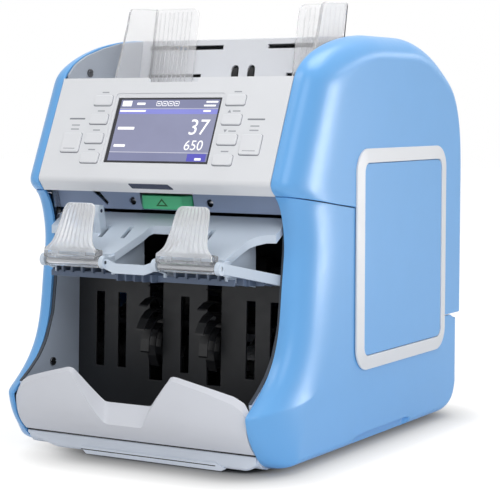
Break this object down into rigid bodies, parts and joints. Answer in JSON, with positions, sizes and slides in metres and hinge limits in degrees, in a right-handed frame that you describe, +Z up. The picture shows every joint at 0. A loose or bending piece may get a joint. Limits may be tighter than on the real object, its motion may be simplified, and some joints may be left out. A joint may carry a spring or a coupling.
{
  "type": "banknote counting machine",
  "caption": "Desk-top banknote counter with a top hopper, sloping control panel, reject pocket with clear fingers, stacker pocket below and a hinged upper unit.",
  "frame": {"origin": "on the floor under the middle of the machine's box", "axes": "+Z up, the front faces -Y, +X to the right seen from the front"},
  "size_m": [0.2678, 0.3539, 0.3604],
  "materials": {
    "casing_blue": "satin moulded, sky blue",
    "panel_white": "fine satin texture",
    "tray_grey": "fine satin texture",
    "liner_grey": "matt texture",
    "reject_grey": "satin",
    "dark_plastic": "matt",
    "clear_plastic": "clear polished",
    "lever_green": "satin",
    "key_grey": "satin",
    "rubber": "matt",
    "steel": "zinc plated",
    "circuit_board": "solder mask",
    "screen_glass": "clear lens over the display",
    "sensor_black": "glass faced",
    "pinion_white": "moulded acetal"
  },
  "bodies": {
    "lower_unit": {"base_pan": "panel_white", "rubber_feet": "rubber", "lower_cover_left": "casing_blue", "lower_cover_right": "casing_blue", "stacker_front": "tray_grey", "stacker_pocket": "dark_plastic", "pocket_liners": "liner_grey", "reject_tray": "reject_grey", "lower_path_plate": "dark_plastic", "rear_lower_panel": "tray_grey", "mains_inlet": "dark_plastic", "interface_sockets": "steel", "main_board": "circuit_board", "power_supply": "steel", "drive_motor": "dark_plastic", "pivot_pins": "steel", "side_frames": "steel", "casing_screws": "steel", "lower_image_sensor": "sensor_black", "drive_belt": "rubber"},
    "upper_unit": {"upper_cover_left": "casing_blue", "upper_cover_right": "casing_blue", "trim_rings": "panel_white", "side_panels": "casing_blue", "control_panel": "panel_white", "display_lens": "screen_glass", "display_board": "circuit_board", "hopper_back_plate": "panel_white", "hopper_floor": "liner_grey", "hopper_cheeks": "tray_grey", "hopper_screws": "steel", "top_rear_cover": "panel_white", "front_strip": "liner_grey", "upper_path_plate": "dark_plastic", "upper_frames": "steel", "upper_image_sensor": "sensor_black"},
    "release_latch": {"release_lever": "lever_green", "latch_shaft": "steel"},
    "finger_left": {"reject_finger_left": "clear_plastic"},
    "finger_right": {"reject_finger_right": "clear_plastic"},
    "guide_left": {"hopper_guide_left": "clear_plastic"},
    "guide_right": {"hopper_guide_right": "clear_plastic"},
    "pinion": {"guide_pinion": "pinion_white"},
    "kicker": {"kicker_rollers": "rubber"},
    "feed": {"feed_rollers": "rubber"},
    "transport": {"transport_rollers": "rubber"},
    "stacker": {"stacker_wheels": "dark_plastic"},
    "motor_rotor": {"motor_pulley": "steel"},
    "gate": {"diverter_gate": "dark_plastic"},
    "rocker": {"power_rocker": "dark_plastic"},
    "small_key_left_1": {"small_key_left_1": "key_grey"},
    "small_key_left_2": {"small_key_left_2": "key_grey"},
    "small_key_left_3": {"small_key_left_3": "key_grey"},
    "small_key_left_4": {"small_key_left_4": "key_grey"},
    "small_key_right_1": {"small_key_right_1": "key_grey"},
    "small_key_right_2": {"small_key_right_2": "key_grey"},
    "small_key_right_3": {"small_key_right_3": "key_grey"},
    "small_key_right_4": {"small_key_right_4": "key_grey"},
    "large_key_left": {"large_key_left": "key_grey"},
    "large_key_right": {"large_key_right": "key_grey"}
  },
  "joints": [
    {"name": "upper_unit_hinge", "type": "hinge", "parent": "lower_unit", "child": "upper_unit", "pos_m": [0, 0.16942, 0.105], "axis": [-1, 0, 0], "range_deg": [0, 45]},
    {"name": "lever_turn", "type": "hinge", "parent": "upper_unit", "child": "release_latch", "pos_m": [0, -0.10258, 0.201], "axis": [-1, 0, 0], "range_deg": [0, 14], "stiffness_Nm_per_rad": 0.05, "springref_deg": -8.59},
    {"name": "finger_left_fold", "type": "hinge", "parent": "lower_unit", "child": "finger_left", "pos_m": [-0.0529, -0.16058, 0.155], "axis": [1, 0, 0], "range_deg": [0, 80]},
    {"name": "finger_right_fold", "type": "hinge", "parent": "lower_unit", "child": "finger_right", "pos_m": [0.0529, -0.16058, 0.155], "axis": [1, 0, 0], "range_deg": [0, 80]},
    {"name": "small_key_left_1_press", "type": "slide", "parent": "upper_unit", "child": "small_key_left_1", "axis": [0, 0.9144, -0.4049], "range_m": [0, 0.001], "stiffness_N_per_m": 400, "springref_m": -0.0005},
    {"name": "small_key_left_2_press", "type": "slide", "parent": "upper_unit", "child": "small_key_left_2", "axis": [0, 0.9144, -0.4049], "range_m": [0, 0.001], "stiffness_N_per_m": 400, "springref_m": -0.0005},
    {"name": "small_key_left_3_press", "type": "slide", "parent": "upper_unit", "child": "small_key_left_3", "axis": [0, 0.9144, -0.4049], "range_m": [0, 0.001], "stiffness_N_per_m": 400, "springref_m": -0.0005},
    {"name": "small_key_left_4_press", "type": "slide", "parent": "upper_unit", "child": "small_key_left_4", "axis": [0, 0.9144, -0.4049], "range_m": [0, 0.001], "stiffness_N_per_m": 400, "springref_m": -0.0005},
    {"name": "small_key_right_1_press", "type": "slide", "parent": "upper_unit", "child": "small_key_right_1", "axis": [0, 0.9144, -0.4049], "range_m": [0, 0.001], "stiffness_N_per_m": 400, "springref_m": -0.0005},
    {"name": "small_key_right_2_press", "type": "slide", "parent": "upper_unit", "child": "small_key_right_2", "axis": [0, 0.9144, -0.4049], "range_m": [0, 0.001], "stiffness_N_per_m": 400, "springref_m": -0.0005},
    {"name": "small_key_right_3_press", "type": "slide", "parent": "upper_unit", "child": "small_key_right_3", "axis": [0, 0.9144, -0.4049], "range_m": [0, 0.001], "stiffness_N_per_m": 400, "springref_m": -0.0005},
    {"name": "small_key_right_4_press", "type": "slide", "parent": "upper_unit", "child": "small_key_right_4", "axis": [0, 0.9144, -0.4049], "range_m": [0, 0.001], "stiffness_N_per_m": 400, "springref_m": -0.0005},
    {"name": "large_key_left_press", "type": "slide", "parent": "upper_unit", "child": "large_key_left", "axis": [0, 0.9144, -0.4049], "range_m": [0, 0.001], "stiffness_N_per_m": 400, "springref_m": -0.0005},
    {"name": "large_key_right_press", "type": "slide", "parent": "upper_unit", "child": "large_key_right", "axis": [0, 0.9144, -0.4049], "range_m": [0, 0.001], "stiffness_N_per_m": 400, "springref_m": -0.0005},
    {"name": "guide_left_slide", "type": "slide", "parent": "upper_unit", "child": "guide_left", "axis": [1, 0, 0], "range_m": [0, 0.026]},
    {"name": "guide_right_slide", "type": "slide", "parent": "upper_unit", "child": "guide_right", "axis": [-1, 0, 0], "range_m": [0, 0.026]},
    {"name": "pinion_turn", "type": "hinge", "parent": "upper_unit", "child": "pinion", "pos_m": [0, 0.01692, 0.32133], "axis": [0, -0.9796, 0.2011], "range_deg": [-300, 2]},
    {"name": "kicker_spin", "type": "hinge", "parent": "upper_unit", "child": "kicker", "pos_m": [0, 0.01358, 0.30058], "axis": [1, 0, 0], "continuous": true},
    {"name": "feed_spin", "type": "hinge", "parent": "upper_unit", "child": "feed", "pos_m": [0, 0.02542, 0.262], "axis": [1, 0, 0], "continuous": true},
    {"name": "stacker_spin", "type": "hinge", "parent": "lower_unit", "child": "stacker", "pos_m": [0, -0.06858, 0.098], "axis": [1, 0, 0], "continuous": true},
    {"name": "transport_spin", "type": "hinge", "parent": "lower_unit", "child": "transport", "pos_m": [0, 0.01562, 0.1357], "axis": [1, 0, 0], "continuous": true},
    {"name": "motor_spin", "type": "hinge", "parent": "lower_unit", "child": "motor_rotor", "pos_m": [-0.1, -0.00858, 0.06], "axis": [1, 0, 0], "continuous": true},
    {"name": "gate_tip", "type": "hinge", "parent": "lower_unit", "child": "gate", "pos_m": [0, -0.07058, 0.1815], "axis": [1, 0, 0], "range_deg": [0, 12]},
    {"name": "rocker_tip", "type": "hinge", "parent": "lower_unit", "child": "rocker", "pos_m": [-0.072, 0.16292, 0.066], "axis": [1, 0, 0], "range_deg": [0, 14]}
  ],
  "couplings": [
    {"joint": "guide_right_slide", "follows": "guide_left_slide", "ratio": 1},
    {"joint": "pinion_turn", "follows": "guide_left_slide", "rad_per_m": -200},
    {"joint": "kicker_spin", "follows": "feed_spin", "ratio": 1.4773},
    {"joint": "transport_spin", "follows": "stacker_spin", "ratio": 1.3333},
    {"joint": "motor_spin", "follows": "stacker_spin", "ratio": 1.7778}
  ]
}
